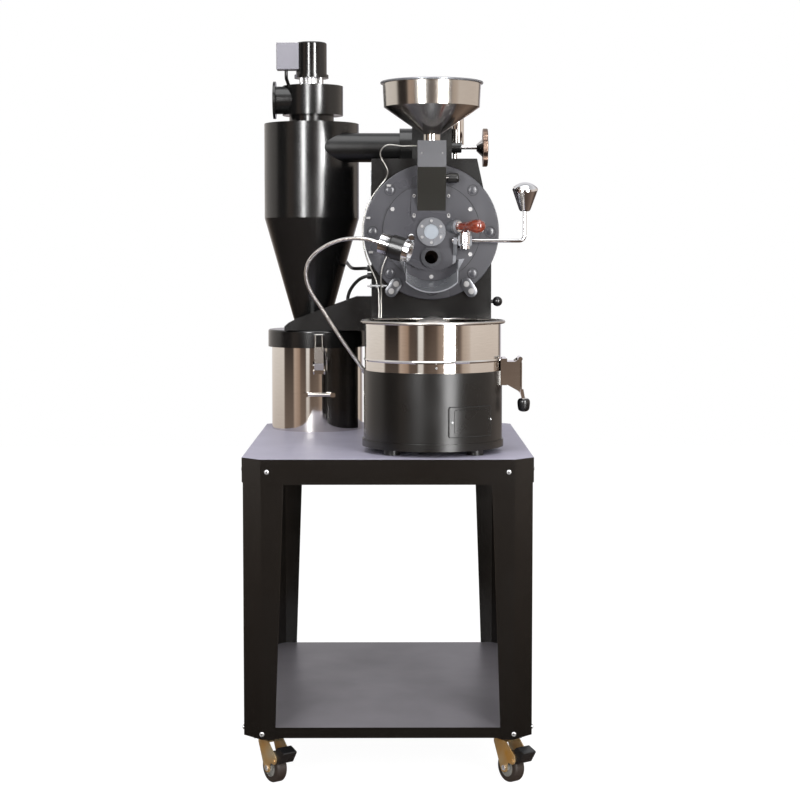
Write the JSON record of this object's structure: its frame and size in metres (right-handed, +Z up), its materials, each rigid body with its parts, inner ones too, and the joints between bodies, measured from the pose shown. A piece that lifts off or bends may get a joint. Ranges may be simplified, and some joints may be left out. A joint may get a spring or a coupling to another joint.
{
  "type": "electric coffee roaster",
  "caption": "Electric drum coffee roaster with cooling bin, chaff cyclone and blower, standing on a black sheet-steel cart with braked swivel casters.",
  "frame": {"origin": "on the floor under the middle of the cart", "axes": "+Z up, -Y towards someone who stands at the cooling bin, +X to their right"},
  "size_m": [0.6501, 0.8354, 1.593],
  "materials": {
    "black_gloss": "gloss powder coat",
    "black_satin": "satin powder coat",
    "plate_paint": "fine textured dark grey enamel",
    "steel": "polished stainless sheet",
    "chrome": "bright plating",
    "bronze": "dull bronze plating",
    "zinc": "dark zinc plate",
    "yellow_zinc": "yellow passivated zinc",
    "black_plastic": "moulded",
    "tyre": "dark brown moulded rubber",
    "glass": "clear",
    "wood": "red-brown lacquered",
    "lead_braid": "braided wire and black cable"
  },
  "bodies": {
    "frame": {"cart_top": "black_gloss", "cart_legs": "black_gloss", "lower_shelf": "black_gloss", "caster_plates": "zinc", "bin_base": "black_gloss", "bin_skirt": "black_satin", "bin_bowl": "steel", "bin_floor": "steel", "stirrer_motor": "black_satin", "access_door": "black_satin", "gate_chute": "steel", "lower_body": "black_satin", "drum_casing": "black_satin", "face_plate": "plate_paint", "face_disc": "plate_paint", "sight_glass": "glass", "sight_ring": "chrome", "discharge_spout": "chrome", "plate_bearings": "chrome", "feed_chute": "plate_paint", "hopper": "steel", "heater": "steel", "drum_motor": "black_satin", "exhaust_box": "black_satin", "vent_stack": "steel", "cyclone": "black_satin", "blower_housing": "black_satin", "blower_motor": "black_satin", "barrel": "steel", "barrel_lid": "black_satin", "chaff_duct": "black_satin", "gooseneck": "chrome", "lamp_head": "black_plastic", "leads": "lead_braid"},
    "stirrer": {"stirrer": "steel"},
    "cooling_fan": {"cooling_fan": "black_plastic"},
    "gate_flap": {"gate_flap": "steel"},
    "door": {"discharge_door": "plate_paint", "door_lever": "chrome"},
    "trier": {"trier": "steel", "trier_handle": "wood"},
    "slide_gate": {"slide_gate": "black_plastic"},
    "drum": {"drum": "steel"},
    "body_knob": {"body_knob": "black_plastic"},
    "damper_plate": {"damper_plate": "steel"},
    "handwheel": {"handwheel": "bronze"},
    "blower_impeller": {"blower_impeller": "steel"},
    "barrel_latch": {"barrel_latch": "steel"},
    "caster_fork_front_left": {"caster_fork_front_left": "yellow_zinc"},
    "caster_wheel_front_left": {"caster_wheel_front_left": "tyre"},
    "brake_pedal_front_left": {"brake_pedal_front_left": "black_plastic"},
    "caster_fork_front_right": {"caster_fork_front_right": "yellow_zinc"},
    "caster_wheel_front_right": {"caster_wheel_front_right": "tyre"},
    "brake_pedal_front_right": {"brake_pedal_front_right": "black_plastic"},
    "caster_fork_rear_left": {"caster_fork_rear_left": "yellow_zinc"},
    "caster_wheel_rear_left": {"caster_wheel_rear_left": "tyre"},
    "brake_pedal_rear_left": {"brake_pedal_rear_left": "black_plastic"},
    "caster_fork_rear_right": {"caster_fork_rear_right": "yellow_zinc"},
    "caster_wheel_rear_right": {"caster_wheel_rear_right": "tyre"},
    "brake_pedal_rear_right": {"brake_pedal_rear_right": "black_plastic"}
  },
  "joints": [
    {"name": "drum_spin", "type": "hinge", "parent": "frame", "child": "drum", "pos_m": [0.095, 0.2, 1.141], "axis": [0, 1, 0], "continuous": true},
    {"name": "stirrer_spin", "type": "hinge", "parent": "frame", "child": "stirrer", "pos_m": [0.095, -0.23, 0.826], "axis": [0, 0, 1], "continuous": true},
    {"name": "cooling_fan_spin", "type": "hinge", "parent": "frame", "child": "cooling_fan", "pos_m": [0.095, -0.23, 0.716], "axis": [0, 0, 1], "continuous": true},
    {"name": "blower_spin", "type": "hinge", "parent": "frame", "child": "blower_impeller", "pos_m": [-0.183, 0.262, 1.476], "axis": [0, 0, 1], "continuous": true},
    {"name": "door_swing", "type": "hinge", "parent": "frame", "child": "door", "pos_m": [0.15, -0.088, 1.121], "axis": [-1, 0, 0], "range_deg": [0, 70]},
    {"name": "trier_pull", "type": "slide", "parent": "frame", "child": "trier", "axis": [0.6157, -0.788, 0], "range_m": [0, 0.06]},
    {"name": "slide_gate_pull", "type": "slide", "parent": "frame", "child": "slide_gate", "axis": [1, 0, 0], "range_m": [0, 0.045]},
    {"name": "handwheel_turn", "type": "hinge", "parent": "frame", "child": "handwheel", "pos_m": [0.221, 0.189, 1.341], "axis": [1, 0, 0], "range_deg": [0, 1080]},
    {"name": "damper_travel", "type": "slide", "parent": "frame", "child": "damper_plate", "axis": [-1, 0, 0], "range_m": [0, 0.036]},
    {"name": "gate_flap_swing", "type": "hinge", "parent": "frame", "child": "gate_flap", "pos_m": [0.279, -0.23, 0.8714], "axis": [0, -1, 0], "range_deg": [0, 80]},
    {"name": "latch_swing", "type": "hinge", "parent": "frame", "child": "barrel_latch", "pos_m": [-0.162, 0.1445, 0.828], "axis": [1, 0, 0], "range_deg": [0, 100]},
    {"name": "body_knob_turn", "type": "hinge", "parent": "frame", "child": "body_knob", "pos_m": [0.243, -0.034, 0.987], "axis": [1, 0, 0], "range_deg": [0, 270]},
    {"name": "caster_swivel_front_left", "type": "hinge", "parent": "frame", "child": "caster_fork_front_left", "pos_m": [-0.245, -0.344, 0.09], "axis": [0, 0, 1], "continuous": true},
    {"name": "wheel_spin_front_left", "type": "hinge", "parent": "caster_fork_front_left", "child": "caster_wheel_front_left", "pos_m": [-0.23468, -0.35874, 0.0315], "axis": [-0.8192, -0.5736, 0], "continuous": true},
    {"name": "pedal_press_front_left", "type": "hinge", "parent": "caster_fork_front_left", "child": "brake_pedal_front_left", "pos_m": [-0.21862, -0.38168, 0.052], "axis": [0.8192, 0.5736, 0], "range_deg": [0, 8]},
    {"name": "caster_swivel_front_right", "type": "hinge", "parent": "frame", "child": "caster_fork_front_right", "pos_m": [0.245, -0.344, 0.09], "axis": [0, 0, 1], "continuous": true},
    {"name": "wheel_spin_front_right", "type": "hinge", "parent": "caster_fork_front_right", "child": "caster_wheel_front_right", "pos_m": [0.25532, -0.35874, 0.0315], "axis": [-0.8192, -0.5736, 0], "continuous": true},
    {"name": "pedal_press_front_right", "type": "hinge", "parent": "caster_fork_front_right", "child": "brake_pedal_front_right", "pos_m": [0.27138, -0.38168, 0.052], "axis": [0.8192, 0.5736, 0], "range_deg": [0, 8]},
    {"name": "caster_swivel_rear_left", "type": "hinge", "parent": "frame", "child": "caster_fork_rear_left", "pos_m": [-0.245, 0.344, 0.09], "axis": [0, 0, 1], "continuous": true},
    {"name": "wheel_spin_rear_left", "type": "hinge", "parent": "caster_fork_rear_left", "child": "caster_wheel_rear_left", "pos_m": [-0.26131, 0.35161, 0.0315], "axis": [0.4226, 0.9063, 0], "continuous": true},
    {"name": "pedal_press_rear_left", "type": "hinge", "parent": "caster_fork_rear_left", "child": "brake_pedal_rear_left", "pos_m": [-0.28669, 0.36344, 0.052], "axis": [-0.4226, -0.9063, 0], "range_deg": [0, 8]},
    {"name": "caster_swivel_rear_right", "type": "hinge", "parent": "frame", "child": "caster_fork_rear_right", "pos_m": [0.245, 0.344, 0.09], "axis": [0, 0, 1], "continuous": true},
    {"name": "wheel_spin_rear_right", "type": "hinge", "parent": "caster_fork_rear_right", "child": "caster_wheel_rear_right", "pos_m": [0.25532, 0.35874, 0.0315], "axis": [0.8192, -0.5736, 0], "continuous": true},
    {"name": "pedal_press_rear_right", "type": "hinge", "parent": "caster_fork_rear_right", "child": "brake_pedal_rear_right", "pos_m": [0.27138, 0.38168, 0.052], "axis": [-0.8192, 0.5736, 0], "range_deg": [0, 8]}
  ],
  "couplings": [
    {"joint": "damper_travel", "follows": "handwheel_turn", "m_per_rad": 0.0019079}
  ]
}
